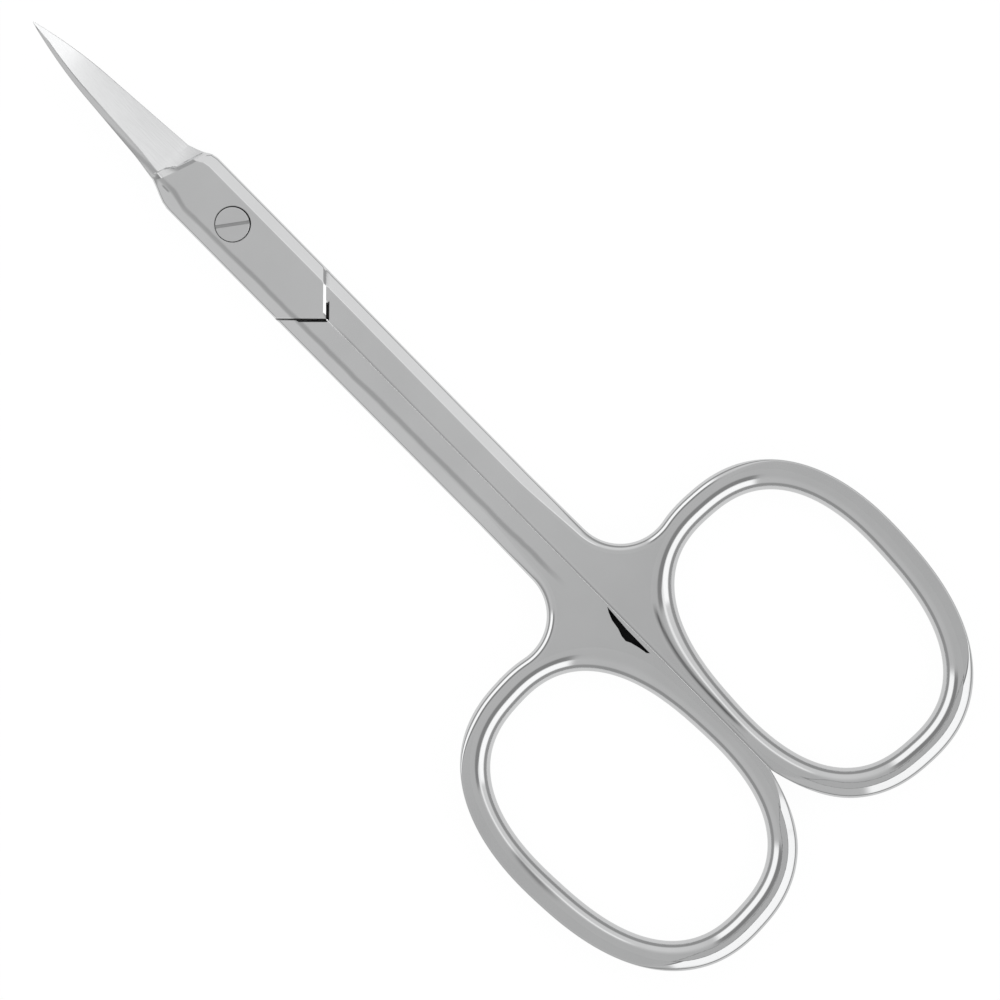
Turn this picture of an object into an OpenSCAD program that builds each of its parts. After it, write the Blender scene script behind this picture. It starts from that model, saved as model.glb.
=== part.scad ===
// Cuticle scissors: two lapped steel halves that turn on a slotted screw.
// +X points to the tips, +Z up, and the pivot axis is X = Y = 0. The underside of the joint is at Z = 0.
// The front half is the upper one: its blade's back is at +Y, and its finger ring at -Y.

/* [Joint] */
// Width across the joint
joint_w = 5.6; // [5.4:0.1:5.8]
// Thickness of the joint, both lap plates together
joint_t = 3; // [2.9:0.1:3.3]
// Gap between the two lap plates
lap_gap = 0.04; // [0.03:0.01:0.06]
// From the pivot back to the point of the chevron at the end of a lap plate
chevron_reach = 10.3; // [9.5:0.1:11]
// Slit between the end of a lap plate and the shoulder behind it
chevron_slit = 0.2; // [0.15:0.05:0.3]
// From the pivot forward to the shoulders where the joint narrows to the blades
shoulder_reach = 5; // [4.8:0.1:5.2]
// Width of the bevels along the joint, seen from above
joint_bevel_w = 1.1; // [0.8:0.1:1.2]
// Depth of these bevels
joint_bevel_h = 0.5; // [0.3:0.1:0.7]

/* [Blades] */
// From the pivot to the tips, seen from above
blade_reach = 22; // [21:0.5:24]
// Width of a blade at its root
blade_root_w = 3.7; // [3.4:0.1:3.8]
// Width of a blade where its tip starts to round in
blade_belly_w = 2.45; // [2.2:0.05:2.6]
// From the pivot to where the tip starts to round in
blade_belly_reach = 15; // [13:0.5:16]
// Thickness at the root, on the ridge beside the back
blade_root_t = 1.15; // [1:0.05:1.25]
// Thickness at the tip, on the ridge
blade_tip_t = 0.32; // [0.25:0.01:0.5]
// Thickness left at the cutting edge
blade_edge_t = 0.08; // [0.06:0.01:0.12]
// Width of the bevel along the back, at the root
back_bevel_w = 0.55; // [0.4:0.05:0.7]
// Radius of the upward bend of the blades
bend_r = 35; // [30:1:60]

/* [Shanks] */
// Gap between the two shanks when the scissors are closed
parting_gap = 0.06; // [0.04:0.01:0.1]
// How far the shanks lie below the top of the joint
shank_step = 0.12; // [0.08:0.01:0.2]
// Width across the closed shanks at their narrowest
shank_w = 5.48; // [5.2:0.02:5.6]
// Width of the bevel along the outer side of a shank
shank_bevel_w = 1.05; // [0.8:0.05:1.2]
// Width of that bevel near the ring, where it is narrowest
shank_bevel_end_w = 0.65; // [0.5:0.05:0.9]
// Depth of that bevel
shank_bevel_h = 0.55; // [0.4:0.05:0.7]
// Radius of the fillet between a shank and its ring
web_r = 4; // [3.5:0.5:4.5]

/* [Finger rings] */
// Length of a finger hole
hole_l = 23.2; // [22.8:0.2:23.4]
// Width of a finger hole
hole_w = 16; // [15.6:0.1:16.2]
// From the pivot back to the middle of a finger hole
hole_reach = 53.7; // [53.5:0.1:53.9]
// From the parting line to the middle of a finger hole
hole_side = 9.8; // [9.7:0.05:9.9]
// Turn of a ring, with its far end towards the parting line
ring_tilt = 3; // [2:0.5:3.5]
// Squareness of the finger holes: 2 is an ellipse, more is squarer
hole_power = 2.5; // [2.4:0.05:2.6]
// Squareness of the rings' outer sides
ring_power = 2.35; // [2.3:0.05:2.5]
// Width of a ring's band at its ends
band_end_w = 2.45; // [2.4:0.05:2.6]
// Width of a ring's band on its outer side
band_side_w = 2.35; // [2.3:0.05:2.5]
// Thickness of a ring at its far end
ring_t = 2.5; // [2.3:0.1:2.7]
// Rounding of a ring's rims, seen from above
rim_w = 1.05; // [0.8:0.05:1.08]
// Height of that rounding
rim_h = 0.95; // [0.7:0.05:1]

/* [Pivot screw] */
// Diameter of the screw's head
head_d = 2.75; // [2.5:0.05:2.8]
// Diameter of the seat that the head lies in
seat_d = 2.85; // [2.85:0.05:3]
// Depth of that seat
seat_h = 0.8; // [0.6:0.05:0.9]
// Diameter of the screw's shank
pin_d = 2; // [1.8:0.1:2]
// Width of the slot in the head
slot_w = 0.4; // [0.3:0.05:0.5]
// Depth of the slot
slot_h = 0.35; // [0.25:0.05:0.4]
// Direction of the slot, from +X towards +Y
slot_angle = 57; // [0:1:180]

/* [Hidden] */

steel = [0.69, 0.7, 0.71];
dark_steel = [0.62, 0.63, 0.65];
true_round = 64;    // any count above 12 stands for a true circle

mid_z = joint_t / 2;
joint_half = joint_w / 2;
part_half = parting_gap / 2;
shoulder_half = joint_half - 0.1;      // the joint is a little narrower at its shoulders
under_lift = 0.02;                     // the shanks and rings lie this far above the joint's underside
blade_relief = 0.02;                   // the blades' inner faces stand this far back from the lap plates

// Shape of the edges: the same quarter round, in steps of 22.5 degrees, stretched to each rim's size
round_step = 22.5;
fine = 0.08;                           // a broken edge that only just shows

function mix(a, b, t) = a + (b - a) * t;
function ramp(x, from, to) = min(1, max(0, (x - from) / (to - from)));
function signed_pow(v, p) = sign(v) * pow(abs(v), p);
function turned(p, a) = [p.x * cos(a) - p.y * sin(a), p.x * sin(a) + p.y * cos(a)];

// Joins a stack of closed loops, each anticlockwise as seen from the end of the stack.
// caps lists the faces that close a loop, also anticlockwise, by their places in the loop.
module skin(loops, caps) {
    n = len(loops[0]);
    last = len(loops) - 1;
    polyhedron(
        points = [for (loop = loops) each loop],
        faces = concat(
            caps,
            [for (k = [0 : last - 1], i = [0 : n - 1]) [k * n + i, (k + 1) * n + i, (k + 1) * n + (i + 1) % n]],
            [for (k = [0 : last - 1], i = [0 : n - 1]) [k * n + i, (k + 1) * n + (i + 1) % n, k * n + (i + 1) % n]],
            [for (face = caps) [for (i = [len(face) - 1 : -1 : 0]) last * n + face[i]]]));
}

// Finger rings: ovals |x/a|^p + |y/b|^p = 1 about the middle of the hole, turned by ring_tilt.
// An oval is held as [a, b, p].

hole_oval = [hole_l / 2, hole_w / 2, hole_power];
ring_oval = [hole_l / 2 + band_end_w, hole_w / 2 + band_side_w, ring_power];
ring_centre = [-hole_reach, hole_side];

function oval_point(t, oval) =
    let (x = signed_pow(cos(t), 2 / oval[2]), y = signed_pow(sin(t), 2 / oval[2]))
    ring_centre + turned([oval.x * x, oval.y * y], ring_tilt);

function oval_normal(t, oval) =
    let (k = 2 - 2 / oval[2], x = signed_pow(cos(t), k) / oval.x, y = signed_pow(sin(t), k) / oval.y)
    turned([x, y], ring_tilt) / norm([x, y]);

// The turn at which the ring's outline crosses the parting line, found by halving the interval
function parting_turn(above, below, tries) =
    let (middle = (above + below) / 2)
    tries == 0 ? middle
    : oval_point(middle, ring_oval).y > part_half ? parting_turn(middle, below, tries - 1)
    : parting_turn(above, middle, tries - 1);

notch_turn = parting_turn(200, 265, 30);
crotch_turn = parting_turn(340, 275, 30);

// The turn at which a fillet laid on the ring just reaches down to the side of the shank
web_rise = 0.08;                       // the shank widens by this much on its way to the fillet
function fillet_turn(low, high, tries) =
    let (
        middle = (low + high) / 2,
        side = oval_point(middle, ring_oval).y + web_r * (oval_normal(middle, ring_oval).y - 1)
    )
    tries == 0 ? middle
    : side > shank_w / 2 + web_rise ? fillet_turn(low, middle, tries - 1)
    : fillet_turn(middle, high, tries - 1);

web_turn = fillet_turn(-40, 0, 30);
web_meet = oval_point(web_turn, ring_oval);
web_normal = oval_normal(web_turn, ring_oval);
web_centre = web_meet + web_r * web_normal;
web_end_angle = atan2(-web_normal.y, -web_normal.x);

shank_top = joint_t - shank_step;
shoulder_x = -(chevron_reach + chevron_slit);
handle_slope = (shank_top - under_lift - ring_t) / (hole_reach + ring_oval.x + shoulder_x);
narrow_x = -30;                        // the shank is at its narrowest here
bevel_full_x = -24;                    // its bevel keeps its full width this far
bevel_narrow_x = -33;                  // and is at its narrowest here

function handle_top(x) = shank_top + handle_slope * (x - shoulder_x);

function shank_edge(x) =
    x > narrow_x
    ? mix(joint_half - 0.01, shank_w / 2, ramp(x, shoulder_x + joint_half, narrow_x))
    : mix(shank_w / 2, web_centre.y - web_r, ramp(x, narrow_x, web_centre.x));

function shank_bevel(x) = mix(shank_bevel_w, shank_bevel_end_w, ramp(x, bevel_full_x, bevel_narrow_x));

// Each outline point holds its place, the way inwards, and the width and height of its rounded edge
shoulder_points = [
    [[shoulder_x, part_half], [-0.41, 1], fine, fine],
    [[shoulder_x + joint_half - 1.3, joint_half - 1.3], [-0.7, 0.7], fine, fine],
    [[shoulder_x + joint_half, joint_half - 0.01], [-1, -1], shank_bevel_w, shank_bevel_h]
];
shank_points = [
    for (x = [bevel_full_x, narrow_x, bevel_narrow_x])
        [[x, shank_edge(x)], [0, -1], shank_bevel(x), shank_bevel_h]
];
web_points = [
    for (a = [270 : -(270 - web_end_angle) / 8 : web_end_angle + 1])
        let (t = (270 - a) / (270 - web_end_angle), way = [cos(a), sin(a)])
        [web_centre + web_r * way, way, mix(shank_bevel_end_w, rim_w, t), mix(shank_bevel_h, rim_h, t)]
];

// Point of an outline at one step of its rounded edge; a is 0 at the wall and 90 at the face
function edge_point(p, a, top) =
    let (q = p[0] + p[1] * p[2] * (1 - cos(a)), drop = p[3] * (1 - sin(a)))
    [q.x, q.y, top ? handle_top(q.x) - drop : under_lift + drop];

// The ring's outer side follows its oval, but stops at the parting line
notch_fade = 25;                       // its rim's rounding fades out over this turn before the notch
function ring_side_point(t) =
    let (p = oval_point(t, ring_oval), fade = ramp(t, notch_turn, notch_turn - notch_fade))
    t < notch_turn
    ? [p, -oval_normal(t, ring_oval), mix(fine, rim_w, fade), mix(fine, rim_h, fade)]
    : [[p.x, part_half], [0, 1], fine, fine];

function hole_side_point(t) = [oval_point(t, hole_oval), oval_normal(t, hole_oval), rim_w, rim_h];

// The ring's outer side and its hole share the turns up to the crotch, and the hole goes on past the web
turn_step = 5;
rim_turns = concat(
    [for (t = [web_turn : turn_step : notch_turn - 2]) t],
    [notch_turn],
    [for (t = [notch_turn + turn_step : turn_step : crotch_turn - 2]) t],
    [crotch_turn]);
web_turns = [for (t = [crotch_turn + turn_step : turn_step : 360 + web_turn - 2]) t];

web_x = -41;                           // the faces of the web fan out from here, on the parting line
web_point = [[web_x, part_half], [0, 1], fine, fine];
lead_points = concat(shoulder_points, shank_points, web_points);
outer_points = concat(lead_points, [for (t = rim_turns) ring_side_point(t)], [web_point]);
hole_points = [for (t = concat(rim_turns, web_turns)) hole_side_point(t)];

// Handle of the half whose ring is at +Y, as one closed surface: an outer wall, the wall of the
// finger hole, and two faces that join them. Both faces fan out from web_point where there is no ring.
module handle() {
    steps = concat(
        [for (a = [90 : -round_step : 0]) [a, false]],
        [for (a = [0 : round_step : 90]) [a, true]]);
    lead = len(lead_points);
    shared = len(rim_turns);
    n = len(outer_points);
    m = len(hole_points);
    last = len(steps) - 1;
    hole_start = n * (last + 1);
    web = n - 1;
    cap = concat(
        [for (i = [0 : shared - 2]) each [
            [lead + i, lead + i + 1, hole_start + i + 1],
            [lead + i, hole_start + i + 1, hole_start + i]
        ]],
        [[web - 1, web, hole_start + shared - 1]],
        [for (i = [shared - 1 : m - 1]) [web, hole_start + (i + 1) % m, hole_start + i]],
        [for (i = [0 : lead - 1]) [web, i, i + 1]],
        [[web, lead, hole_start]]);
    polyhedron(
        points = concat(
            [for (step = steps, p = outer_points) edge_point(p, step[0], step[1])],
            [for (step = steps, p = hole_points) edge_point(p, step[0], step[1])]),
        faces = concat(
            cap,
            [for (k = [0 : last - 1], i = [0 : n - 1])
                let (a = k * n + i, b = k * n + (i + 1) % n)
                each [[a, a + n, b + n], [a, b + n, b]]],
            [for (k = [0 : last - 1], i = [0 : m - 1])
                let (a = hole_start + k * m + i, b = hole_start + k * m + (i + 1) % m)
                each [[a, b + m, a + m], [a, b, b + m]]],
            [for (face = cap)
                [for (j = [2, 1, 0]) face[j] + (face[j] < hole_start ? last * n : last * m)]]));
}

// Blade whose back is at +Y and which lies above the lap. Its inner face is a surface of
// revolution about the pivot, so that two blades slide past each other at every angle.

root_reach = 6.84;                     // the shoulders end and the blade proper starts here
bend_start = 7.5;                      // flat out to this radius, past the corners of the lap plates
lip = 0.12;                            // the cutting edge stops this short of the other blade's back

function blade_half(x) =
    x < shoulder_reach ? shoulder_half - 0.1
    : x < root_reach ? mix(shoulder_half - 0.04, blade_root_w / 2, ramp(x, shoulder_reach, root_reach))
    : (mix(blade_root_w, blade_belly_w, (x - root_reach) / (blade_belly_reach - root_reach)) / 2)
        * pow(1 - pow(ramp(x, blade_belly_reach, blade_reach), 2.2), 0.8);

function bend(r) = r < bend_start ? 0 : bend_r - sqrt(bend_r * bend_r - pow(r - bend_start, 2));
function inner_z(x, y) = mid_z + lap_gap / 2 + blade_relief + bend(norm([x, y]));
function ridge_t(x) = x < shoulder_reach ? 0.7 : mix(blade_root_t, blade_tip_t, ramp(x, root_reach, blade_reach));

// Thickness across the face, from the edge (s = 0) to the ridge (s = 1), a little hollow
function face_t(x, s) = mix(blade_edge_t, ridge_t(x), s) - 0.25 * ridge_t(x) * s * (1 - s);

function blade_loop(x) =
    let (
        back = blade_half(x),
        edge = -back + min(lip, back * 0.3),
        ridge = back - min(back_bevel_w * mix(1, 0.45, ramp(x, root_reach, blade_reach)), back * 0.6)
    )
    concat(
        [for (s = [0 : 0.25 : 1]) let (y = mix(edge, back, s)) [x, y, inner_z(x, y)]],
        [[x, back, inner_z(x, back) + ridge_t(x) * 0.55]],
        [for (s = [1 : -0.25 : 0]) let (y = mix(edge, ridge, s)) [x, y, inner_z(x, y) + face_t(x, s)]]);

blade_stations = [
    3.5, shoulder_reach, 5.9, root_reach, 8, 9.2, 10.4, 11.6, 12.8, 14, 15, 16, 17, 18, 19,
    19.8, 20.5, 21.1, 21.6, blade_reach - 0.05
];
blade_caps = [for (i = [0 : 3]) each [[i, i + 1, 9 - i], [i, 9 - i, 10 - i]], [4, 5, 6]];

module blade() {
    skin([for (x = blade_stations) blade_loop(x)], blade_caps);
}

// The rear blade: its back is at -Y, and its thickness lies below the bent inner surface
module rear_blade() {
    skin([
        for (x = blade_stations)
            [for (p = blade_loop(x)) [p.x, -p.y, joint_t - p.z + 2 * bend(norm([p.x, p.y]))]]
    ], blade_caps);
}

// Lap plate of the front half: bevelled along both sides, ending in the chevron behind and
// in a slanting slope down to the blade in front

plunge_back = [7.2, 1.77];             // foot of the slope at the blade's back
plunge_edge = [5.03, -2.69];           // and at its cutting edge
plunge_foot_z = 2.3;
plunge_run = 0.5;                      // length of the slope, seen from above
plate_overlap = 0.15;                  // the plate reaches this far past its own half's shoulder

module lap_plate() {
    own_x = shoulder_x - plate_overlap;
    difference() {
        translate([0, 0, mid_z + lap_gap / 2])
            linear_extrude(joint_t - mid_z - lap_gap / 2)
                polygon([
                    [shoulder_reach, shoulder_half],
                    [-chevron_reach + joint_half, joint_half],
                    [-chevron_reach, 0],
                    [own_x, -part_half - 0.01],
                    [own_x + joint_half, -joint_half],
                    [shoulder_reach, -shoulder_half],
                    plunge_edge,
                    plunge_back,
                    [root_reach, blade_root_w / 2 + 0.02]
                ]);
        for (side = [-1, 1])
            translate([0, side * (joint_half - joint_bevel_w), joint_t])
                rotate([-side * atan(joint_bevel_h / joint_bevel_w), 0, 0])
                    translate([-20, side > 0 ? 0 : -4, 0])
                        cube([40, 4, 3]);
        translate([plunge_back.x, plunge_back.y, plunge_foot_z])
            rotate([0, 0, atan2(plunge_back.y - plunge_edge.y, plunge_back.x - plunge_edge.x) - 90])
                rotate([0, -atan(plunge_run / (joint_t - plunge_foot_z)), 0])
                    translate([0, -8, 0])
                        cube([4, 12, 4]);
    }
}

// Turns a piece of the upper half over into the lower one
module turned_over() {
    translate([0, 0, joint_t])
        rotate([180, 0, 0])
            children();
}

module front_half() {
    color(steel)
        difference() {
            union() {
                lap_plate();
                blade();
                mirror([0, 1, 0]) handle();
            }
            translate([0, 0, -1])
                cylinder(d = pin_d + 0.06, h = joint_t + 2, $fn = true_round);
            translate([0, 0, joint_t - seat_h])
                cylinder(d = seat_d, h = seat_h + 1, $fn = true_round);
        }
}

// Hollow beside the parting line, where the ring of the rear half starts
hollow_floor_z = 1.3;
hollow_outline = [[-41.6, -1], [-41.6, 0], [-43.4, 0.55], [-44.3, 0.8], [-46.5, 0], [-46.5, -1]];

module rear_half() {
    color(steel)
        difference() {
            union() {
                turned_over() lap_plate();
                rear_blade();
                handle();
            }
            translate([0, 0, -1])
                cylinder(d = pin_d + 0.03, h = joint_t + 2, $fn = true_round);
            translate([0, 0, hollow_floor_z])
                linear_extrude(joint_t)
                    polygon(hollow_outline);
        }
}

module pivot_screw() {
    head_top = joint_t - 0.05;
    head_under = joint_t - seat_h + 0.02;
    broken = 0.1;
    color(dark_steel)
        difference() {
            rotate_extrude($fn = true_round)
                polygon([
                    [0, 0],
                    [pin_d / 2 - broken, 0],
                    [pin_d / 2, broken],
                    [pin_d / 2, head_under],
                    [head_d / 2, head_under],
                    [head_d / 2, head_top - broken],
                    [head_d / 2 - broken, head_top],
                    [0, head_top]
                ]);
            translate([0, 0, head_top - slot_h])
                rotate([0, 0, slot_angle])
                    translate([-3, -slot_w / 2, 0])
                        cube([6, slot_w, 2]);
        }
}

front_half();
rear_half();
pivot_screw();
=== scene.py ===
# Cuticle scissors: two lapped steel halves and the slotted screw that they turn on.
# Sizes are in millimetres until a mesh is made. +X points to the tips and +Z up, as in the frame.
import math

import bmesh
import bpy
import numpy as np
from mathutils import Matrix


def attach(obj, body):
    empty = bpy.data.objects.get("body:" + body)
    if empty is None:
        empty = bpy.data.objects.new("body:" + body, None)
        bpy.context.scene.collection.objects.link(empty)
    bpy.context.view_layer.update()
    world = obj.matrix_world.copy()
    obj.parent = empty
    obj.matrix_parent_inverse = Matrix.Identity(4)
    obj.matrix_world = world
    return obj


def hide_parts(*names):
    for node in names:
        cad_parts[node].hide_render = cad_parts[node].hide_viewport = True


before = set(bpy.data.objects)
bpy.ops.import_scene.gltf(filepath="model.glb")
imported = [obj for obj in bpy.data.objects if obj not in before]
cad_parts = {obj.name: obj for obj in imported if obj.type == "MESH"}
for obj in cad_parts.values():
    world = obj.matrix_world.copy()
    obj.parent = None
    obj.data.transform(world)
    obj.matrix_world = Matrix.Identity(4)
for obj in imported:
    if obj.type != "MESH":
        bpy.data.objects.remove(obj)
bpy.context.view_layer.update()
print("frame loaded")

millimetre = 0.001
# The last two finishes paint shade into recesses
satin, polished, paintedRecessShade, shade = 0, 1, 2, 3      # finishes, by their place in a piece's material slots
sharpAngle = 26         # degrees between two faces past which their edge shades as a sharp one


def mix(a, b, t):
    return a + (b - a) * t


def ramp(x, start, end):
    # Straight climb from 0 at start to 1 at end
    return np.clip((x - start) / (end - start), 0, 1)


def ease(x, start, end):
    # The same climb with soft ends
    t = ramp(x, start, end)
    return t * t * (3 - 2 * t)


def signedPower(v, p):
    return np.sign(v) * np.abs(v) ** p


def strips(rows, closed=False):
    # Quads between neighbouring rows of an index grid; closed joins the last column to the first
    if closed:
        rows = np.concatenate([rows, rows[:, :1]], axis=1)
    return np.stack([rows[:-1, :-1], rows[:-1, 1:], rows[1:, 1:], rows[1:, :-1]], -1).reshape(-1, 4)


# Finishes
def newMaterial(name):
    material = bpy.data.materials.new(name)
    material.use_nodes = True
    nodes, links = material.node_tree.nodes, material.node_tree.links
    nodes.clear()
    output = nodes.new("ShaderNodeOutputMaterial")
    shader = nodes.new("ShaderNodeBsdfPrincipled")
    links.new(shader.outputs["BSDF"], output.inputs["Surface"])
    return material, nodes, links, shader


def calculator(nodes, links):
    # Gives functions that add a Math node, and a soft climb from 0 to 1, and return their output
    def calc(operation, *values):
        node = nodes.new("ShaderNodeMath")
        node.operation = operation
        for socket, value in zip(node.inputs, values):
            if isinstance(value, (int, float)):
                socket.default_value = value
            else:
                links.new(value, socket)
        return node.outputs[0]

    def climb(value, low, high):
        node = nodes.new("ShaderNodeMapRange")
        node.interpolation_type = "SMOOTHSTEP"
        node.inputs["From Min"].default_value = low
        node.inputs["From Max"].default_value = high
        links.new(value, node.inputs["Value"])
        return node.outputs["Result"]

    return calc, climb


def noise(nodes, links, vector, size, detail=3):
    node = nodes.new("ShaderNodeTexNoise")
    node.inputs["Scale"].default_value = size
    node.inputs["Detail"].default_value = detail
    links.new(vector, node.inputs["Vector"])
    return node.outputs["Fac"]


# Painted shade: dark lines that the colour draws along the left bevel's border, at a pit and on the parting line; the
# clouds are the steel's own tone
paintedShadeAndClouds = {
    "border": (0.00175, 0.011),         # the bevel's inner border: its Y at the pivot, and its drift along X
    "turnIn": -0.00033,                 # and how far it turns in at the plunge
    "bevelShadeLine": (0.0003, 0.28), "pitShade": (0.00012, 0.4), "parting": (0.00017, 0.28),    # half widths and depths
    "pitShadeAt": 0.00176, "partingShadeAt": -0.00005,
    "from": -0.0385, "to": -0.035, "wander": 0.00012,
    "bright": (-0.05, -0.025, 1.15), "clouds": 0.05,
}


def steelTone(nodes, links, place, tone):
    # The steel's colour: soft clouds, a little brighter towards the joint, painted shade as a dark line along the left
    # bevel's inner border with a dark pit at its end and a dark band on the parting line, and the painted dark
    # reflection lines that a mesh carries
    calc, climb = calculator(nodes, links)
    split = nodes.new("ShaderNodeSeparateXYZ")
    links.new(place, split.inputs[0])
    x, y = split.outputs["X"], split.outputs["Y"]
    wander = calc("MULTIPLY_ADD", noise(nodes, links, place, 420, 2), 2 * paintedShadeAndClouds["wander"], -paintedShadeAndClouds["wander"])
    value = calc("MULTIPLY_ADD", noise(nodes, links, place, 260, 4), 2 * paintedShadeAndClouds["clouds"], 1 - paintedShadeAndClouds["clouds"])
    value = calc("MULTIPLY", value, tone)
    low, high, bright = paintedShadeAndClouds["bright"]
    value = calc("MULTIPLY", value, calc("MULTIPLY_ADD", climb(x, low, high), bright - 1, 1))
    border = calc("MULTIPLY_ADD", x, paintedShadeAndClouds["border"][1], paintedShadeAndClouds["border"][0])
    border = calc("MULTIPLY_ADD", climb(x, 0.0033, 0.0052), paintedShadeAndClouds["turnIn"], border)
    # Each painted shade line darkens the colour by its depth across its half width
    for middle, part, window in (
            (calc("SUBTRACT", border, wander), "bevelShadeLine", climb(x, paintedShadeAndClouds["from"], paintedShadeAndClouds["to"])),
            (paintedShadeAndClouds["pitShadeAt"], "pitShade", calc("MULTIPLY", climb(x, 0.0051, 0.0054), climb(x, 0.0061, 0.0058))),
            (paintedShadeAndClouds["partingShadeAt"], "parting", climb(x, -0.0102, -0.013))):
        half, depth = paintedShadeAndClouds[part]
        away = calc("ABSOLUTE", calc("SUBTRACT", y, middle))
        line = calc("MULTIPLY", climb(away, half, 0.2 * half), window)
        value = calc("MULTIPLY", value, calc("MULTIPLY_ADD", line, -depth, 1))
    # Painted dark reflection lines, carried by the mesh as a point attribute, darken the colour
    paintedDarkLine = nodes.new("ShaderNodeAttribute")
    paintedDarkLine.attribute_name = "paintedDarkLine"
    value = calc("MULTIPLY", value, calc("SUBTRACT", 1, paintedDarkLine.outputs["Fac"]))
    colour = nodes.new("ShaderNodeCombineColor")
    for socket, share in zip(colour.inputs, (0.995, 1, 1.005)):
        links.new(calc("MULTIPLY", value, share), socket)
    return colour.outputs["Color"]


def satinSteel(name, tone, rough, grain):
    # Flats ground along the scissors: fine lines along X in the roughness and in a faint bump
    material, nodes, links, shader = newMaterial(name)
    shader.inputs["Metallic"].default_value = 1
    place = nodes.new("ShaderNodeTexCoord").outputs["Object"]
    links.new(steelTone(nodes, links, place, tone), shader.inputs["Base Color"])
    stretch = nodes.new("ShaderNodeMapping")
    stretch.inputs["Scale"].default_value = (400, 9000, 9000)
    links.new(place, stretch.inputs["Vector"])
    lines = noise(nodes, links, stretch.outputs["Vector"], 1)
    roughness = nodes.new("ShaderNodeMapRange")
    roughness.inputs["To Min"].default_value = rough - 0.05
    roughness.inputs["To Max"].default_value = rough + 0.05
    links.new(lines, roughness.inputs["Value"])
    links.new(roughness.outputs["Result"], shader.inputs["Roughness"])
    bump = nodes.new("ShaderNodeBump")
    bump.inputs["Strength"].default_value = grain
    bump.inputs["Distance"].default_value = 0.00001
    links.new(lines, bump.inputs["Height"])
    links.new(bump.outputs["Normal"], shader.inputs["Normal"])
    return material


def polishedSteel():
    # Buffed rims: nearly a mirror, with soft clouds in the roughness
    material, nodes, links, shader = newMaterial("polished_steel")
    shader.inputs["Metallic"].default_value = 1
    place = nodes.new("ShaderNodeTexCoord").outputs["Object"]
    links.new(steelTone(nodes, links, place, 0.72), shader.inputs["Base Color"])
    roughness = nodes.new("ShaderNodeMapRange")
    roughness.inputs["To Min"].default_value = 0.06
    roughness.inputs["To Max"].default_value = 0.12
    links.new(noise(nodes, links, place, 500, 4), roughness.inputs["Value"])
    links.new(roughness.outputs["Result"], shader.inputs["Roughness"])
    return material


def paintedShadeSteel():
    # Painted shade: near-black steel in the slits, bores, seat and the hollow, where shade falls
    material, nodes, links, shader = newMaterial("painted_shade_steel")
    shader.inputs["Metallic"].default_value = 0.6
    place = nodes.new("ShaderNodeTexCoord")
    clouds = nodes.new("ShaderNodeTexNoise")
    clouds.inputs["Scale"].default_value = 900
    links.new(place.outputs["Object"], clouds.inputs["Vector"])
    tone = nodes.new("ShaderNodeMix")
    tone.data_type = "RGBA"
    tone.inputs["A"].default_value = (0.012, 0.012, 0.013, 1)
    tone.inputs["B"].default_value = (0.04, 0.04, 0.042, 1)
    links.new(clouds.outputs["Fac"], tone.inputs["Factor"])
    links.new(tone.outputs["Result"], shader.inputs["Base Color"])
    shader.inputs["Roughness"].default_value = 0.6
    return material


# The last two finishes are painted shade: near black, and mid grey
finishes = [satinSteel("ground_steel", 0.7, 0.2, 0.25), polishedSteel(), paintedShadeSteel(),
            satinSteel("painted_mid_shade_steel", 0.3, 0.4, 0.3)]


class Shell:
    # Points and faces of a closed surface; each group of faces has its own finish
    def __init__(self):
        self.points, self.faces, self.finishes, self.count = [], [], [], 0

    def grid(self, points):
        # Adds a rows x columns grid of points and gives back their numbers
        points = np.asarray(points, float)
        self.points.append(points.reshape(-1, 3))
        numbers = np.arange(points[..., 0].size).reshape(points.shape[:-1]) + self.count
        self.count += numbers.size
        return numbers

    def add(self, faces, finish, flipped=False):
        faces = np.asarray(faces)
        if flipped:
            faces = faces[:, ::-1]
        self.faces.extend(faces.tolist())
        self.finishes.extend(np.broadcast_to(finish, len(faces)).tolist())

    def build(self, name, change=None, flipped=False):
        # change moves the points, as (x, y, z) arrays; flipped is for a change that mirrors
        points = np.concatenate(self.points)
        if change:
            points = np.stack(change(*points.T), -1)
        faces = [f[::-1] for f in self.faces] if flipped else self.faces
        mesh = bpy.data.meshes.new(name)
        mesh.from_pydata((points * millimetre).tolist(), [], faces)
        mesh.polygons.foreach_set("material_index", np.array(self.finishes, np.int32))
        mesh.polygons.foreach_set("use_smooth", np.ones(len(faces), bool))
        for finish in finishes:
            mesh.materials.append(finish)
        piece = bpy.data.objects.new(name, mesh)
        bpy.context.scene.collection.objects.link(piece)
        return piece


def cut(piece, tool, operation):
    # Applies a boolean of the tool to the piece, and removes the tool
    step = piece.modifiers.new(operation, "BOOLEAN")
    step.object, step.operation, step.solver = tool, operation, "EXACT"
    result = bpy.data.meshes.new_from_object(piece.evaluated_get(bpy.context.evaluated_depsgraph_get()))
    piece.modifiers.clear()
    piece.data = result
    bpy.data.objects.remove(tool)


def prism(name, outline, low, high, finish):
    # An upright prism on an outline that runs anticlockwise
    shell = Shell()
    outline = np.asarray(outline, float)
    rows = shell.grid([np.insert(outline, 2, z, axis=1) for z in (low, high)])
    shell.add(strips(rows, closed=True), finish)
    shell.add([rows[1]], finish)
    shell.add([rows[0]], finish, flipped=True)
    return shell.build(name)


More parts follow.
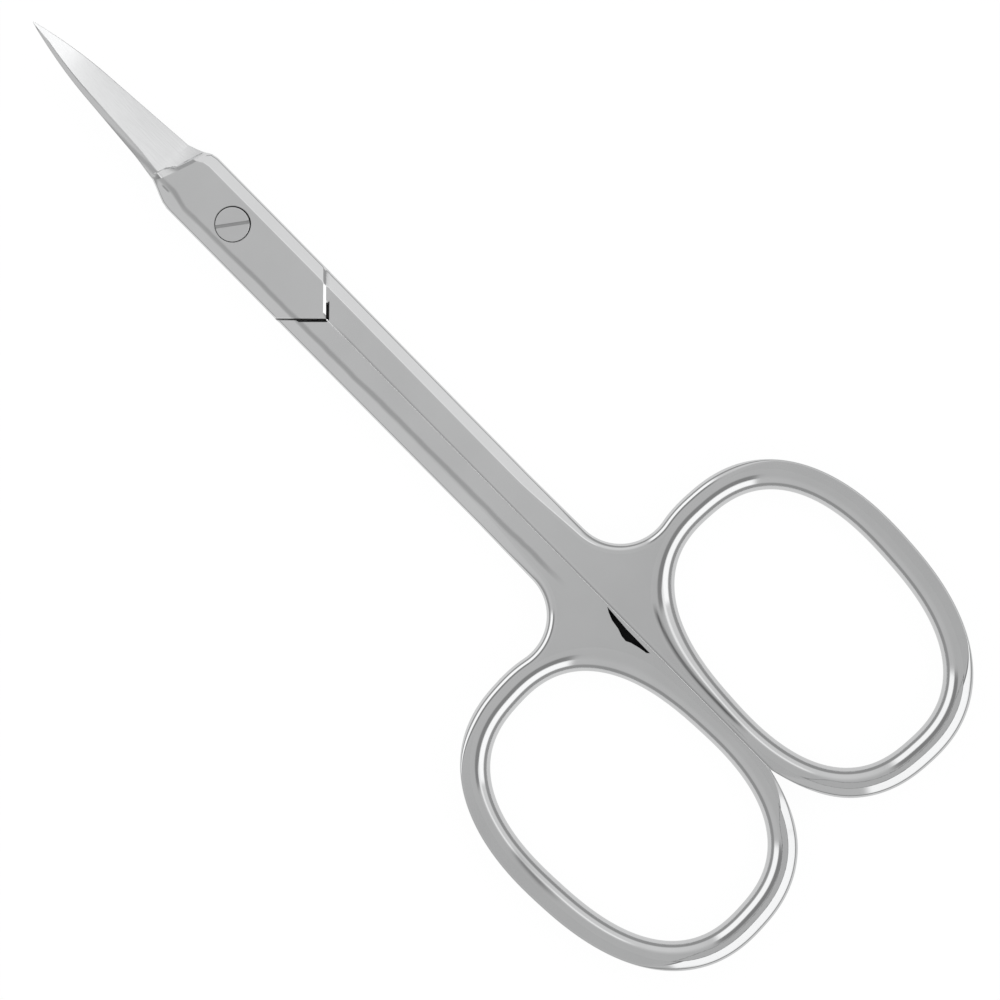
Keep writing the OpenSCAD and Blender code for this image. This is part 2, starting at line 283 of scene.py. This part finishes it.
def lathed(name, profile, finishes, sides=128):
    # A profile of (radius, height) points turned about the Z axis, from the bottom up; both ends are capped
    shell = Shell()
    turn = np.linspace(0, 2 * math.pi, sides, endpoint=False)
    radius, height = np.array(profile, float).T
    rows = shell.grid(np.stack([
        radius[:, None] * np.cos(turn), radius[:, None] * np.sin(turn), height[:, None] + 0 * turn], -1))
    for row, finish in enumerate(finishes):
        shell.add(strips(rows[row:row + 2], closed=True), finish)
    shell.add([rows[-1]], finishes[-1])
    shell.add([rows[0]], finishes[0], flipped=True)
    return shell.build(name)


# Rims. A profile runs from the wall to the flat as shares of the rim's width (inwards) and height (down)
rim = {
    "steps": 22,
    "bend": 0.35,           # radius between the wall and the bevel's slope
    "soft": 0.35,           # radius between the slope and the flat
    "slope": 26,            # degrees
    "width": 1.05,          # of the whole bevel
    "hold": 0.03,           # a last row on the flat, so that the flat shades as a plane
}


def bevelProfile():
    # A bend from upright to the slope, the straight slope, then a soft bend to level
    slope = math.radians(rim["slope"])
    outer = np.linspace(math.pi / 2, slope, 10)
    inner = np.linspace(slope, 0, 10)
    run = rim["width"] - rim["bend"] * (1 - math.sin(slope)) - rim["soft"] * math.sin(slope)
    x = rim["bend"] * (1 - np.sin(outer))
    z = rim["bend"] * np.cos(outer)
    between = np.array([1 / 3, 2 / 3]) * run
    x = np.concatenate([x, x[-1] + between, x[-1] + run + rim["soft"] * (math.sin(slope) - np.sin(inner))])
    z = np.concatenate([z, z[-1] + between * math.tan(slope),
                        z[-1] + run * math.tan(slope) + rim["soft"] * (np.cos(inner) - math.cos(slope))])
    return x / x[-1], 1 - z / z[-1], z[-1]


bevelIn, bevelDown, bevelHeight = bevelProfile()
quarter = np.linspace(0, math.pi / 2, rim["steps"])
roundIn, roundDown = 1 - np.cos(quarter), 1 - np.sin(quarter)

# Handle: shank, web and finger ring, drawn with the ring at +Y
handle = {
    "jointHalf": 2.79, "partHalf": 0.01, "shoulder": -10.5,
    "top": 2.88, "ringTop": 2.52, "lift": 0.02,
    "narrowHalf": 2.74, "narrowAt": -30, "bevelFullTo": -29, "bevelNarrowAt": -40,
    "bevelWide": 1.05,
    "webRadius": 4, "webRise": 0.08, "webFan": -42,
    "ringCentre": (-53.7, 9.8), "tilt": math.radians(3),
    "hole": (11.6, 8, 2.5), "ring": (14.05, 10.35, 2.35),
    "holeRimSide": 1.4, "holeRimEnd": 1.6, "holeRimWeb": 1.9, "holeRimHeight": 1.15,
    "nearRim": (0.75, 0.65), "sideRim": (0.16, 0.16), "farRim": (1.2, 0.85),      # widths and heights
    "notchLift": 0.2,       # the ring leaves the parting line a little earlier than its oval
    "liftTurns": (212, 244), "sideTurns": (12, 42), "farTurns": (122, 155), "fadeTurns": 25,      # degrees
    "webTurns": (272, 300, 342, 310),       # the hole's rim widens and narrows again beside the web
    "ringEnd": -67.75,
}


def turned(x, y, angle):
    return x * math.cos(angle) - y * math.sin(angle), x * math.sin(angle) + y * math.cos(angle)


def ovalPoint(turn, oval):
    # |x/a|^p + |y/b|^p = 1, turned by the tilt, about the middle of the finger hole
    a, b, p = oval
    x, y = turned(a * signedPower(np.cos(turn), 2 / p), b * signedPower(np.sin(turn), 2 / p), handle["tilt"])
    return np.stack([handle["ringCentre"][0] + x, handle["ringCentre"][1] + y], -1)


def ovalNormal(turn, oval):
    # The gradient of that oval, made one long
    a, b, p = oval
    x, y = signedPower(np.cos(turn), 2 - 2 / p) / a, signedPower(np.sin(turn), 2 - 2 / p) / b
    size = np.hypot(x, y)
    return np.stack(turned(x / size, y / size, handle["tilt"]), -1)


def turnWhere(test, low, high):
    # Halves the interval: test is false at low and true at high
    for _ in range(40):
        middle = (low + high) / 2
        low, high = (low, middle) if test(middle) else (middle, high)
    return low


def chain(places, ways, width, height, roundness):
    # Outline points with the way inwards and the size and shape of their rim
    places, ways = np.atleast_2d(places), np.atleast_2d(ways)
    n = len(places)
    return np.column_stack([places, np.broadcast_to(ways, (n, 2)), *[
        np.broadcast_to(v, n) for v in (width, height, roundness)]])


def handleShell(partWidth, partHeight):
    # Two walls, on the outline and round the finger hole. Each outline point goes inwards and down by its rim's
    # width and height times a profile between bevel and round, and the top falls evenly to the ring's end.
    # The arguments are the size of the rounded edge along the parting line
    h, radians = handle, math.radians
    ring, hole = h["ring"], h["hole"]

    def ringPoint(turn):
        lift = h["notchLift"] * ease(turn, *map(radians, h["liftTurns"]))
        return ovalPoint(turn, ring) + np.stack([0 * lift, lift], -1)

    notch = turnWhere(lambda t: ringPoint(t)[1] < h["partHalf"], radians(200), radians(265))
    crotch = turnWhere(lambda t: ovalPoint(t, ring)[1] > h["partHalf"], radians(275), radians(340))
    side = h["narrowHalf"] + h["webRise"]
    web = turnWhere(lambda t: ovalPoint(t, ring)[1] + h["webRadius"] * (ovalNormal(t, ring)[1] - 1) > side,
                    radians(-40), 0)
    webCentre = ovalPoint(web, ring) + h["webRadius"] * ovalNormal(web, ring)
    webEnd = math.atan2(*-ovalNormal(web, ring)[::-1]) % (2 * math.pi)

    # Outer side: shoulder, shank, fillet, ring, parting line
    corner = h["shoulder"] + h["jointHalf"]
    shoulder = chain([[h["shoulder"], h["partHalf"]], [corner - 1.2, h["jointHalf"] - 1.2]],
                     [[-0.41, 1], [-0.7, 0.7]], [0.08, 0.1], [0.08, 0.1], 1)
    cornerPoint = chain([corner, h["jointHalf"]], [-1, -1], h["bevelWide"], bevelHeight, 0)
    x = np.concatenate([
        np.linspace(corner - 1.5, h["narrowAt"], 16), np.linspace(h["narrowAt"], webCentre[0], 8)[1:-1]])
    y = np.where(x > h["narrowAt"], mix(h["jointHalf"], h["narrowHalf"], ramp(x, corner, h["narrowAt"])),
                 mix(h["narrowHalf"], side, ramp(x, h["narrowAt"], webCentre[0])))
    t = ease(x, h["bevelFullTo"], h["bevelNarrowAt"])
    near, nearHigh = h["nearRim"]
    shank = chain(np.stack([x, y], -1), [0, -1], mix(h["bevelWide"], near, t), mix(bevelHeight, nearHigh, t), t)
    a = np.linspace(1.5 * math.pi, webEnd, 36)[:-1]
    way = np.stack([np.cos(a), np.sin(a)], -1)
    places = webCentre + h["webRadius"] * way
    t = ease(places[:, 0], h["bevelFullTo"], h["bevelNarrowAt"])
    fillet = chain(places, way, mix(h["bevelWide"], near, t), mix(bevelHeight, nearHigh, t), t)

    t = np.concatenate([np.arange(web, notch - 0.03, radians(2)), [notch]])
    fade = ease(t, notch, notch - radians(h["fadeTurns"]))
    atSide, atFar = [ease(t, *map(radians, h[turns])) for turns in ("sideTurns", "farTurns")]
    width, height = [mix(mix(n, s, atSide), f, atFar) for n, s, f in zip(h["nearRim"], h["sideRim"], h["farRim"])]
    ringSide = chain(ringPoint(t), -ovalNormal(t, ring), mix(0.1, width, fade), mix(0.1, height, fade), 1 - 0.8 * atFar)
    along = np.concatenate([np.arange(notch + radians(3), crotch - 0.03, radians(3)), [crotch]])
    parting = np.append(ovalPoint(along, ring)[:, 0], h["webFan"])
    parting = chain(np.stack([parting, 0 * parting + h["partHalf"]], -1), [0, 1], partWidth, partHeight, 1)
    outer = np.concatenate([shoulder, cornerPoint, shank, fillet, ringSide, parting])

    # The finger hole shares the turns of the ring and the parting line, and goes on past the web
    t = np.concatenate([t, along, np.arange(crotch + radians(2), 2 * math.pi + web - 0.02, radians(2))])
    ends = ease(np.abs(np.cos(t)), 0.5, 0.95)
    start, full, end, back = map(radians, h["webTurns"])
    webSide = ease(t, start, full) * ease(t, end, back)
    width = mix(mix(h["holeRimSide"], h["holeRimEnd"], ends), h["holeRimWeb"], webSide)
    inner = chain(ovalPoint(t, hole), ovalNormal(t, hole), width, h["holeRimHeight"], 1)

    def level(points, step, top):
        # One row of a wall: the rim's profile at a step, or past it the row that holds the flat
        last = rim["steps"] - 1
        k = min(step, last)
        inwards = mix(bevelIn[k], roundIn[k], points[:, 6]) * points[:, 4] + rim["hold"] * (step > last)
        down = mix(bevelDown[k], roundDown[k], points[:, 6]) * points[:, 5]
        xy = points[:, :2] + points[:, 2:4] * inwards[:, None]
        upper = mix(h["top"], h["ringTop"], ramp(xy[:, 0], h["shoulder"], h["ringEnd"]))
        return np.column_stack([xy, upper - down if top else h["lift"] + down])

    shell = Shell()
    steps = [(k, False) for k in range(rim["steps"], -1, -1)] + [(k, True) for k in range(rim["steps"] + 1)]
    wall = shell.grid([level(outer, *step) for step in steps])
    holeWall = shell.grid([level(inner, *step) for step in steps])
    slit = len(shoulder)
    # Painted shade in the slit at the shoulder
    shell.add(strips(wall[:, :slit + 1]), paintedRecessShade)
    shell.add(strips(np.concatenate([wall[:, slit:], wall[:, :1]], axis=1)), polished)
    shell.add(strips(holeWall, closed=True), polished, flipped=True)
    lead = len(shoulder) + 1 + len(shank) + len(fillet)
    shared = len(ringSide) + len(parting) - 1
    for row, flipped in ((-1, False), (0, True)):
        o, i = wall[row], holeWall[row]
        fan = o[-1]
        k = np.arange(shared - 1)
        quads = np.stack([o[lead + k], o[lead + k + 1], i[k + 1], i[k]], -1)
        k = np.arange(shared - 1, len(i))
        beside = np.stack([np.full(len(k), fan), i[(k + 1) % len(i)], i[k]], -1)
        k = np.arange(lead)
        ahead = np.stack([np.full(len(k), fan), o[k], o[k + 1]], -1)
        shell.add(quads, satin, flipped)
        shell.add(beside, satin, flipped)
        shell.add(ahead, satin, flipped)
        shell.add([[o[-2], fan, i[shared - 1]], [fan, o[lead], i[0]]], satin, flipped)
    return shell


# Lap plate and blade in one, drawn for the upper half: the blade's back is at +Y
plate = {
    "half": 2.8, "bottom": 1.52, "top": 3, "reach": 10.3,
    "chamfers": (0.22, 0.05), "chamferDrops": (0.115, 0.05),     # on the own side and the other
    # darkTo: out to here from the apex the groove is deep and painted with shade, then it shallows
    "groove": 0.35, "grooveReach": 0.4, "darkTo": 0.8,
    "columns": -4,          # columns slant with the chevron behind here
    "bright": 6.0,          # the polished bevels end here
    "shoulder": 5,
    "plunge": 5.88, "slant": 0.35,      # the plunge starts here, further out at +Y
    "slopes": (0.72, 0.5), "reaches": (0.3, 0.6),       # its gentle start, at the edge and the back
    "steep": 6, "foot": 0.05,           # its wall, and the rounding at the foot
    "aslant": 1.41,         # a chamfer's width along X, on the chevron's 45 degrees
    "seat": 1.405, "seatFloor": 2.2, "seatBreak": 0.04, "bore": 1.03, "rearBore": 1.015,
}
blade = {
    "root": 6.84, "rootWidth": 3.7, "belly": 15, "bellyWidth": 2.45, "tip": 21.95,
    "rootThick": 1.12, "tipThick": 0.32, "edgeThick": (0.08, 0.3), "bluntFrom": 17,
    "faceSlope": 0.33,      # the most that the blade thickens for each step inwards from the edge
    "backBevel": 0.6, "backBevelTip": 0.27, "backDrop": 0.34,
    "lip": 0.03, "relief": 0.04, "bendStart": 7.5, "bendRadius": 35, "middle": 1.5,
}


def bend(r):
    # Height of the bent lap surface at a distance from the pivot: flat, then an arc
    rise = np.clip(r - blade["bendStart"], 0, None)
    return blade["bendRadius"] - np.sqrt(blade["bendRadius"] ** 2 - rise ** 2)


def bladeHalf(x):
    # Half the width in plan: the joint's shoulder, the tapering root, then a tip that rounds in
    b = blade
    shoulder = mix(plate["half"] - 0.1, b["rootWidth"] / 2, ramp(x, plate["shoulder"], b["root"]) ** 0.75)
    taper = mix(b["rootWidth"], b["bellyWidth"], (x - b["root"]) / (b["belly"] - b["root"])) / 2
    tip = (1 - ramp(x, b["belly"], 22) ** 2.2) ** 0.8
    joint = plate["half"] - 0.1 * ease(x, 4.4, plate["shoulder"])
    return np.where(x < plate["shoulder"], joint, np.where(x < b["root"], shoulder, taper * tip))


def plateBladeShell(shoulder=0):
    # Height over a grid of columns along X and rows across. On the plate: its flat less the bevels' drop. On the
    # blade: the bent inner surface plus a thickness that grows evenly from the edge to the back. Between them a
    # wall, joined to the blade by half of their sum plus the hypotenuse of their difference and the rounding.
    # shoulder widens the back's side where the joint runs into the blade
    p, b = plate, blade
    last = rim["steps"] - 1
    acrossFlat = np.linspace(0, 1, 25)[1:-1]
    columns = np.concatenate([
        np.linspace(0.7, 5.5, 15) - p["reach"], np.linspace(-4.5, 4.7, 24),
        np.arange(4.8, 8.2, 0.06), np.linspace(8.3, 20, 70), np.linspace(20.08, b["tip"], 24)])
    steps = np.array([0, 0, 0, 0.15, 0.5, 0.8, 1])      # shares of the chamfer
    ends = len(steps)
    columns = np.concatenate([steps * 0.1 - p["reach"], columns])
    c = columns[None, :]

    # Rows: the rim at -Y, the flat, the rim at +Y, as shares of the rims and of the flat
    share = np.concatenate([bevelIn, [1 + rim["hold"]]])[:, None]
    drop = np.concatenate([bevelDown, [0]])[:, None]
    level = 0 * acrossFlat[:, None]
    lowShare = np.concatenate([share, level + share[-1], 0 * share + share[-1]])
    highShare = lowShare[::-1]
    across = np.concatenate([0 * share, acrossFlat[:, None], 0 * share + 1])
    plateDrop = np.concatenate([drop, level, drop[::-1]]) * bevelHeight

    def sides(x):
        # Y of the two sides and the widths of their rims at the places x
        half = bladeHalf(np.clip(x, -10, b["tip"]))
        onBlade = ease(x, 5.4, 7.4)
        bladeRim = np.minimum(mix(b["backBevel"], b["backBevelTip"], ramp(x, b["root"], b["tip"])), half * 0.6)
        return (-half + np.minimum(b["lip"], half * 0.3) * onBlade, mix(rim["width"], 0.25 * half, onBlade),
                half + shoulder * ease(x, 4.9, 5.5) * ease(x, 9.5, 6.5), mix(rim["width"], bladeRim, onBlade))

    def rows(x):
        low, lowRim, high, highRim = sides(x)
        return mix(low + lowRim * lowShare, high - highRim * highShare, across)

    # Columns slant with the chevron at the back end, and with the plunge
    y = rows(c)
    chevron = 1 - ramp(c, -p["reach"], p["columns"])
    x = c + np.abs(y) * chevron + p["slant"] * y * ease(c, 3, 5) * ease(c, 10.5, 7.5)
    y = rows(x)
    own = y[:, :1] < 0
    x[:, :ends] = -p["reach"] + np.abs(y[:, :ends]) + steps * np.where(own, *p["chamfers"]) * p["aslant"]

    # Heights of the plate and of the blade's upper side
    plateZ = p["top"] - plateDrop + 0 * x
    inner = p["bottom"] + (b["relief"] - 0.02) * ease(x, 4.9, 5.2) + bend(np.hypot(x, y))
    thick = mix(b["rootThick"], b["tipThick"], ramp(x, b["root"], b["tip"]))
    edge, _, ridge, ridgeRim = sides(x)
    s = np.clip((y - edge) / (ridge - ridgeRim * share[-1] - edge), 0, 1)
    edgeThick = mix(*b["edgeThick"], ease(x, b["bluntFrom"], b["tip"]))
    thick = np.minimum(thick, edgeThick + b["faceSlope"] * (ridge - ridgeRim * share[-1] - edge))
    face = mix(edgeThick, thick, s)
    back = thick * b["backDrop"] * np.concatenate([0 * drop, level, drop[::-1]])

    # The plunge: a gentle start and a steep wall down from the plate's flat, rounded at the blade's face
    past = np.clip(c - p["plunge"], 0, None)
    atBack = ease(y, -0.2, 0.8)
    reach = mix(*p["reaches"], atBack)
    wall = plateZ - mix(*p["slopes"], atBack) * np.minimum(past, reach) - p["steep"] * np.clip(past - reach, 0, None)
    bladeZ = np.minimum(inner + face - back, plateZ + 0.5 * past)
    rounding = p["foot"] * ramp(past, 0, 0.1)
    z = (wall + bladeZ + np.hypot(wall - bladeZ, rounding)) / 2
    z = np.where(past > 0, z, plateZ)

    # Back end: a chamfer, and on this half's own side a groove's floor that runs into the shank
    z[:, :ends] -= np.where(own, *p["chamferDrops"]) * (1 - ramp(steps, 0, 1))
    depth = mix(p["groove"], p["chamferDrops"][0], ease(np.abs(y[:, :2]), p["darkTo"] - 0.1, p["darkTo"] + 0.3))
    z[:, :2] = np.where(own, plateZ[:, :2] - depth, z[:, :2])
    x[:, 0] -= np.where(own[:, 0], p["grooveReach"], 0)

    shell = Shell()
    upper = shell.grid(np.stack([x, y + 0 * x, z], -1))
    lower = shell.grid(np.stack([x, y + 0 * x, np.minimum(inner, z - 0.01)], -1))
    side = last + 2
    shell.add(strips(lower), satin, flipped=True)
    # Painted shade on the groove's floor and end wall near the chevron's apex
    nearApex = np.abs(y[1:, 0]) < p["darkTo"]
    shell.add(strips(upper[:, :2]), np.where(nearApex, paintedRecessShade, satin))
    shell.add(strips(upper[:, 1:3]), np.where(nearApex, paintedRecessShade, polished))
    shell.add(strips(upper[:, 2:ends]), polished)
    kinds = np.full((len(y) - 1, len(columns) - ends), satin)
    rims = columns[ends - 1:-1] < p["bright"]
    kinds[:side - 1, rims] = kinds[1 - side:, rims] = polished
    shell.add(strips(upper[:, ends - 1:]), kinds.ravel())
    shell.add(strips(np.stack([lower[0], upper[0]])), polished)
    shell.add(strips(np.stack([lower[-1], upper[-1]])), polished, flipped=True)
    # Painted shade on the back end's wall
    shell.add(strips(np.stack([lower[:, 0], upper[:, 0]])), paintedRecessShade, flipped=True)
    shell.add(strips(np.stack([lower[:, -1], upper[:, -1]])), polished)
    return shell


def welded(piece):
    # Merges the doubled points of collapsed strips
    work = bmesh.new()
    work.from_mesh(piece.data)
    bmesh.ops.remove_doubles(work, verts=work.verts, dist=1e-7)
    bmesh.ops.dissolve_degenerate(work, edges=work.edges, dist=1e-8)
    work.to_mesh(piece.data)
    work.free()
    return piece


def turnedOver(x, y, z):
    # The lower half's plate and blade: turned over about X, with the blade bent up again
    return x, -y, 2 * blade["middle"] - z + 2 * bend(np.hypot(x, y))


def sharpened(piece):
    piece.data.polygons.foreach_set("use_smooth", np.ones(len(piece.data.polygons), bool))
    piece.data.set_sharp_from_angle(angle=math.radians(sharpAngle))
    return piece


# Painted dark reflections inside the hole rims (turns in degrees, depths from the hole's edge)
paintedDarkLines = {
    "front": {"turns": (264, 310), "depths": (1.02, 1.7), "half": 0.12, "dark": 0.8},
    "rear": {"turns": (75, 90), "depths": (0.88, 1.05), "half": 0.18, "dark": 0.5},
}


def paintDarkLines(piece, side, paintedDarkLine):
    # Paints a dark reflection line by the hole's rim. Each point finds its nearest place on the hole's oval; side is -1
    # for the front half's ring
    points = np.zeros(3 * len(piece.data.vertices), np.float32)
    piece.data.vertices.foreach_get("co", points)
    points = points.reshape(-1, 3) / millimetre
    near = (points[:, 0] < -38) & (points[:, 2] > 1.5)
    turns = np.arange(0, 360, 0.5)
    away = points[near, None, :2] * (1, side) - ovalPoint(np.radians(turns), handle["hole"])[None]
    away = np.hypot(away[..., 0], away[..., 1])
    turn, depth = turns[away.argmin(1)], away.min(1)
    low, high = paintedDarkLine["turns"]
    window = ease(turn, low - 4, low + 4) * ease(turn, high + 4, high - 4)
    middle = mix(*paintedDarkLine["depths"], ramp(turn, low, high))
    value = np.zeros(len(points), np.float32)
    value[near] = paintedDarkLine["dark"] * window * np.exp(-((depth - middle) / paintedDarkLine["half"]) ** 2)
    piece.data.attributes.new("paintedDarkLine", "FLOAT", "POINT").data.foreach_set("value", value)


print("front half")
frontHalf = welded(plateBladeShell(0.15).build("cuticle_front_half"))
cut(frontHalf, handleShell(0.3, 0.04).build("front handle", lambda x, y, z: (x, -y, z), flipped=True), "UNION")
seat = plate["seat"]
# Painted shade on the bore, the seat's floor and its wall; the seat's break is polished
cut(frontHalf, lathed("seat", [
    (plate["bore"], -1), (plate["bore"], plate["seatFloor"]), (seat, plate["seatFloor"]),
    (seat, 3 - plate["seatBreak"]), (seat + plate["seatBreak"], 3), (seat + 0.2, 3.15)],
    [paintedRecessShade, paintedRecessShade, paintedRecessShade, polished, polished]), "DIFFERENCE")
sharpened(frontHalf)
paintDarkLines(frontHalf, -1, paintedDarkLines["front"])

print("rear half")
hollow = {"floor": 1.3, "outline": [
    (-46.4, 0.32), (-43.8, 0.3), (-41.5, 0.14), (-41.9, 0.38), (-42.5, 0.62), (-43.3, 0.74), (-43.9, 0.95),
    (-44.4, 1.0), (-44.75, 0.82), (-45.5, 0.62), (-46.2, 0.5)]}
rearHalf = welded(plateBladeShell().build("cuticle_rear_half", turnedOver))
cut(rearHalf, handleShell(0.06, 0.01).build("rear handle"), "UNION")
# Painted shade in the rear bore and the hollow
cut(rearHalf, lathed("bore", [(plate["rearBore"], -1), (plate["rearBore"], 2)], [paintedRecessShade]), "DIFFERENCE")
cut(rearHalf, prism("hollow", hollow["outline"], hollow["floor"], 4, paintedRecessShade), "DIFFERENCE")
sharpened(rearHalf)
paintDarkLines(rearHalf, 1, paintedDarkLines["rear"])



def shiftAbove(piece, height, shift):
    # Every point above the height moves by the shift along Y
    points = np.zeros(3 * len(piece.data.vertices))
    piece.data.vertices.foreach_get("co", points)
    points = points.reshape(-1, 3)
    points[points[:, 2] > height * millimetre, 1] += shift * millimetre
    piece.data.vertices.foreach_set("co", points.ravel())
    piece.data.update()


print("screw")
screw = {
    "head": 1.35, "headTop": 2.95, "headUnder": 2.22, "pin": 1, "edge": 0.03, "crown": 0.02,
    "slot": 0.26, "slotDepth": 0.3, "slotTurn": math.radians(54),
    "shift": 0.04,         # of the head in its seat
}
r, top, edge = screw["head"], screw["headTop"], screw["edge"]
pivotScrew = lathed("cuticle_pivot_screw", [
    (0.9, 0), (screw["pin"], 0.1), (screw["pin"], screw["headUnder"]), (r, screw["headUnder"]),
    (r, top - edge - screw["crown"]), (r - 0.3 * edge, top - 0.4 * edge - screw["crown"]),
    (r - edge, top - screw["crown"]), (0.6 * r, top - 0.3 * screw["crown"]), (0.1 * r, top)],
    [polished, polished, satin, polished, polished, polished, satin, satin])
# The slot's faces get the mid-grey painted shade
slotX, slotY = np.array([(-3, -0.5), (3, -0.5), (3, 0.5), (-3, 0.5)]).T * [[1], [screw["slot"]]]
cut(pivotScrew, prism("slot", np.stack(turned(slotX, slotY, screw["slotTurn"]), -1),
                      top - screw["slotDepth"], 4, shade), "DIFFERENCE")
shiftAbove(pivotScrew, screw["headUnder"] - 0.01, screw["shift"])
sharpened(pivotScrew)
pivotScrew.data.materials[satin] = satinSteel("screw_head_steel", 0.68, 0.3, 0.3)
# The slot's steel is darker than the head: painted shade
pivotScrew.data.materials[shade] = satinSteel("screw_slot_painted_shade", 0.5, 0.4, 0.3)


for piece, body, node in ((frontHalf, "front", "front_half"), (rearHalf, "rear", "rear_half"),
                          (pivotScrew, "rear", "pivot_screw")):
    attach(piece, body)
    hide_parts(node)
    print(piece.name, len(piece.data.polygons), "faces")

# Floor
floor = {"half": 2.0, "height": -2e-5, "shade": 0.08, "glow": 1.04, "mirrored": 0.8}
floorMesh = bpy.data.meshes.new("floor")
s, z = floor["half"], floor["height"]
floorMesh.from_pydata([(-s, -s, z), (s, -s, z), (s, s, z), (-s, s, z)], [], [(0, 1, 2, 3)])
floorObject = bpy.data.objects.new("floor", floorMesh)
bpy.context.scene.collection.objects.link(floorObject)
paper, nodes, links, shader = newMaterial("paper")
shader.inputs["Base Color"].default_value = (0.9, 0.9, 0.9, 1)
shader.inputs["Roughness"].default_value = 0.9
shader.inputs["Specular IOR Level"].default_value = 0.1
glow = nodes.new("ShaderNodeEmission")
rays = nodes.new("ShaderNodeLightPath")
calc, climb = calculator(nodes, links)
glossy = rays.outputs["Is Glossy Ray"]
either = calc("MAXIMUM", rays.outputs["Is Camera Ray"], glossy)
links.new(calc("MULTIPLY_ADD", glossy, floor["mirrored"] - floor["glow"], floor["glow"]), glow.inputs["Strength"])
blendNode = nodes.new("ShaderNodeMixShader")
links.new(calc("MULTIPLY", either, 1 - floor["shade"]), blendNode.inputs["Fac"])
links.new(shader.outputs["BSDF"], blendNode.inputs[1])
links.new(glow.outputs["Emission"], blendNode.inputs[2])
links.new(blendNode.outputs["Shader"], nodes["Material Output"].inputs["Surface"])
floorMesh.materials.append(paper)

# Studio: a ring of soft boxes round the table, drawn on the world. Angles are in degrees from the zenith
studio = {
    "overhead": 0.7, "below": 0.9,
    "soft": {"from": 24, "to": 48, "lowerLeft": 0.76, "upperRight": 0.98},
    "gap": {"from": 18, "to": 24, "end": 36, "tone": 0.34},
    "boxes": {"from": 42, "end": 63, "tone": 1.6, "right": 191, "rightHalf": 44, "left": 17, "leftHalf": 32},
    "strip": {"from": 33, "full": 38, "end": 42, "to": 47, "tone": 1.35, "turn": 257, "half": 34},
    "horizon": {"from": 72, "to": 96, "tone": 0.45},
}


def studioWorld():
    world = bpy.data.worlds.new("studio")
    bpy.context.scene.world = world
    world.use_nodes = True
    nodes, links = world.node_tree.nodes, world.node_tree.links
    nodes.clear()
    output = nodes.new("ShaderNodeOutputWorld")

    calc, climb = calculator(nodes, links)

    def towards(vector):
        node = nodes.new("ShaderNodeVectorMath")
        node.operation = "DOT_PRODUCT"
        node.inputs[1].default_value = vector
        links.new(place.outputs["Generated"], node.inputs[0])
        return node.outputs["Value"]

    def blend(a, b, t):
        # a + (b - a) * t
        return calc("MULTIPLY_ADD", calc("SUBTRACT", b, a), t, a)

    place = nodes.new("ShaderNodeTexCoord")
    up = towards((0, 0, 1))
    fromTop = calc("MULTIPLY", calc("ARCCOSINE", up), 180 / math.pi)
    level = calc("MAXIMUM", calc("SQRT", calc("SUBTRACT", 1, calc("MULTIPLY", up, up))), 0.02)

    def within(turn, half):
        # 1 inside a sector of directions about a turn from +X, in degrees
        t = math.radians(turn)
        share = calc("DIVIDE", towards((math.cos(t), math.sin(t), 0)), level)
        edge = math.cos(math.radians(half))
        return climb(share, edge - 0.04, edge + 0.04)

    soft, gap, boxes, horizon = studio["soft"], studio["gap"], studio["boxes"], studio["horizon"]
    upperRight = calc("DIVIDE", towards((0, -1, 0)), level)
    side = blend(soft["lowerLeft"], soft["upperRight"], climb(upperRight, -0.3, 0.7))
    right, left = within(boxes["right"], boxes["rightHalf"]), within(boxes["left"], boxes["leftHalf"])
    ring = blend(studio["overhead"], side, climb(fromTop, soft["from"], soft["to"]))
    dark = calc("MULTIPLY", calc("MAXIMUM", right, left), climb(fromTop, gap["from"], gap["to"]))
    ring = blend(ring, gap["tone"], dark)
    box = calc("MULTIPLY", calc("MAXIMUM", right, left), climb(fromTop, gap["end"], boxes["from"]))
    ring = blend(ring, boxes["tone"], box)
    strip = studio["strip"]
    lit = calc("MULTIPLY", climb(fromTop, strip["from"], strip["full"]), climb(fromTop, strip["to"], strip["end"]))
    lit = calc("MULTIPLY", lit, within(strip["turn"], strip["half"]))
    ring = blend(ring, strip["tone"], lit)
    ring = blend(ring, horizon["tone"], climb(fromTop, boxes["end"], horizon["from"]))
    ring = blend(ring, studio["below"], climb(fromTop, horizon["to"], horizon["to"] + 6))
    light = nodes.new("ShaderNodeBackground")
    links.new(ring, light.inputs["Strength"])
    links.new(light.outputs[0], output.inputs["Surface"])


studioWorld()

# Camera: straight down from afar, turned so that the tips point to the upper left
view = {
    "pivotPixel": (232.56, 224.11), "mmPerPixel": 0.07749, "tipsAngle": 134.6, "size": 1000,
    "distance": 1200, "level": 2.9,
}


def placeCamera():
    a = math.radians(view["tipsAngle"])
    width = view["size"] * view["mmPerPixel"]
    right = np.array([math.cos(a), -math.sin(a)])
    up = np.array([math.sin(a), math.cos(a)])
    # The frame's centre, from the pivot's place in the picture
    offset = (view["size"] / 2 - np.array(view["pivotPixel"])) * view["mmPerPixel"]
    centre = offset[0] * right - offset[1] * up
    data = bpy.data.cameras.new("camera")
    camera = bpy.data.objects.new("camera", data)
    bpy.context.scene.collection.objects.link(camera)
    data.sensor_width = 36
    data.lens = data.sensor_width * view["distance"] / width
    data.clip_start, data.clip_end = 0.1, 10
    camera.location = (*(centre * millimetre), (view["distance"] + view["level"]) * millimetre)
    camera.rotation_euler = (0, 0, -a)
    bpy.context.scene.camera = camera


placeCamera()
bpy.context.scene.view_settings.view_transform = "Standard"
print("studio and camera")
